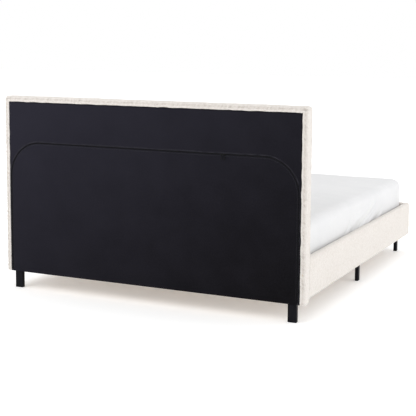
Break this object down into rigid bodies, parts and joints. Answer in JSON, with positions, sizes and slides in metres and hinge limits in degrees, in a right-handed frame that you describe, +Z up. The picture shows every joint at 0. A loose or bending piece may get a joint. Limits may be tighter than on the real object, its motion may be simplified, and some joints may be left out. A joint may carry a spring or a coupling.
{
  "type": "upholstered headboard bed",
  "caption": "Low bed with a tall padded headboard covered in cream boucle, black back cover with an arched zip flap, upholstered rails, slatted base and sheeted mattress.",
  "frame": {"origin": "on the floor, under the middle of the bed's box", "axes": "+Z up, +Y towards the headboard's back, -Y towards the foot end, +X to the right seen from the foot"},
  "size_m": [1.9, 2.159, 1.15],
  "materials": {
    "boucle": "cream boucle, matte",
    "back_cloth": "black non-woven cloth, matte",
    "zip_coil": "black nylon coil",
    "zip_metal": "black lacquered",
    "pine": "planed, bare",
    "plywood": "bare",
    "leg_black": "black painted, satin",
    "steel_black": "black powder coat",
    "foam": "open-cell foam",
    "webbing": "woven tape",
    "ticking": "quilted ticking",
    "sheet": "white cotton"
  },
  "bodies": {
    "frame": {"headboard_top_rail": "pine", "headboard_bottom_rail": "pine", "headboard_left_post": "pine", "headboard_right_post": "pine", "headboard_centre_post": "pine", "headboard_panel": "plywood", "headboard_foam": "foam", "headboard_cover": "boucle", "headboard_leg_left": "leg_black", "headboard_leg_right": "leg_black", "back_cover_border": "back_cloth", "zip_coil_border": "zip_coil", "side_rail_board_left": "pine", "side_rail_foam_left": "foam", "side_rail_cover_left": "boucle", "slat_ledger_left": "pine", "mid_leg_left": "leg_black", "side_rail_board_right": "pine", "side_rail_foam_right": "foam", "side_rail_cover_right": "boucle", "slat_ledger_right": "pine", "mid_leg_right": "leg_black", "footboard_board": "pine", "footboard_foam": "foam", "footboard_cover": "boucle", "foot_leg_left": "leg_black", "foot_leg_right": "leg_black", "head_bracket_left": "steel_black", "head_bracket_right": "steel_black", "foot_bracket_left": "steel_black", "foot_bracket_right": "steel_black", "beam_seat_head": "steel_black", "beam_seat_foot": "steel_black", "centre_beam": "pine", "centre_leg_head": "leg_black", "centre_leg_foot": "leg_black"},
    "back_flap": {"back_cover_flap": "back_cloth", "zip_coil_flap": "zip_coil"},
    "zip_slider_left": {"zip_slider_left": "zip_metal"},
    "zip_slider_right": {"zip_slider_right": "zip_metal"},
    "zip_pull_left": {"zip_pull_left": "zip_metal"},
    "zip_pull_right": {"zip_pull_right": "zip_metal"},
    "slat_base": {"slat_01": "pine", "slat_02": "pine", "slat_03": "pine", "slat_04": "pine", "slat_05": "pine", "slat_06": "pine", "slat_07": "pine", "slat_08": "pine", "slat_09": "pine", "slat_10": "pine", "slat_11": "pine", "slat_12": "pine", "slat_13": "pine", "slat_webbing_left": "webbing", "slat_webbing_right": "webbing"},
    "bedding": {"mattress": "ticking", "fitted_sheet": "sheet"}
  },
  "joints": [
    {"name": "flap_fold", "type": "hinge", "parent": "frame", "child": "back_flap", "pos_m": [0, 1.0725, 0.112], "axis": [-1, 0, 0], "range_deg": [0, 90]},
    {"name": "slider_travel_left", "type": "slide", "parent": "back_flap", "child": "zip_slider_left", "axis": [-1, 0, 0], "range_m": [0, 0.21]},
    {"name": "slider_travel_right", "type": "slide", "parent": "back_flap", "child": "zip_slider_right", "axis": [1, 0, 0], "range_m": [0, 1.16]},
    {"name": "pull_swing_left", "type": "hinge", "parent": "zip_slider_left", "child": "zip_pull_left", "pos_m": [-0.4813, 1.0789, 0.878], "axis": [1, 0, 0], "range_deg": [0, 170]},
    {"name": "pull_swing_right", "type": "hinge", "parent": "zip_slider_right", "child": "zip_pull_right", "pos_m": [-0.4647, 1.0789, 0.878], "axis": [1, 0, 0], "range_deg": [0, 170]},
    {"name": "slat_base_lift", "type": "slide", "parent": "frame", "child": "slat_base", "axis": [0, 0, 1], "range_m": [0, 0.12]},
    {"name": "mattress_lift", "type": "slide", "parent": "slat_base", "child": "bedding", "axis": [0, 0, 1], "range_m": [0, 0.3]}
  ]
}
